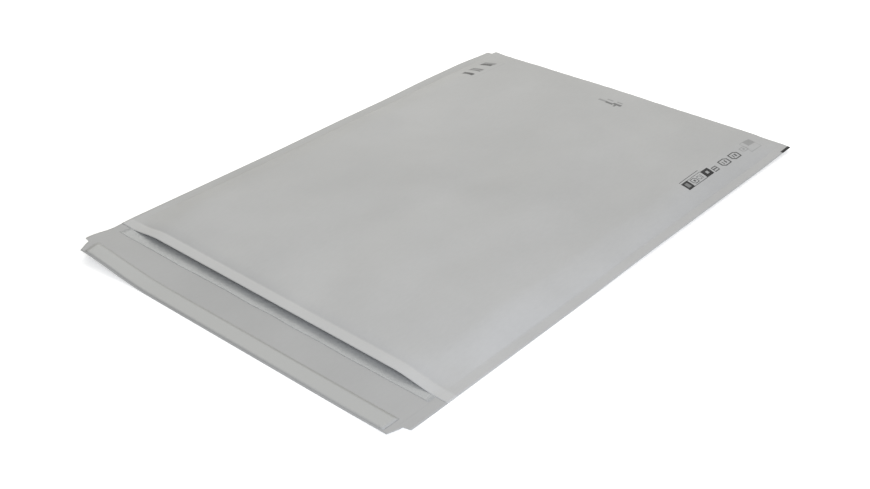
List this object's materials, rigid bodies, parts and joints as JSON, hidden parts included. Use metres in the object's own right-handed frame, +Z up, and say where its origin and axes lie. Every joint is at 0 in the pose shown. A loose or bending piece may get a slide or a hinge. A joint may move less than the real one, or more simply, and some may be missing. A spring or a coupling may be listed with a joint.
{
  "type": "padded envelope",
  "caption": "White paper envelope lined with bubble film, sealed along its sides and folded at its bottom, lying on its back with the flap open.",
  "frame": {"origin": "under the middle of the envelope, on the surface it lies on", "axes": "+X along the mouth, +Y from the flap to the bottom fold, +Z up through the thickness"},
  "size_m": [0.37, 0.53, 0.0112],
  "materials": {
    "white_kraft": "matt white kraft paper",
    "bubble_film": "translucent polythene bubble film",
    "adhesive": "tacky hot-melt glue",
    "liner_paper": "smooth siliconised paper"
  },
  "bodies": {
    "root": {"paper_shell": "white_kraft", "bubble_lining": "bubble_film", "adhesive_strip": "adhesive", "release_liner": "liner_paper"}
  },
  "joints": []
}
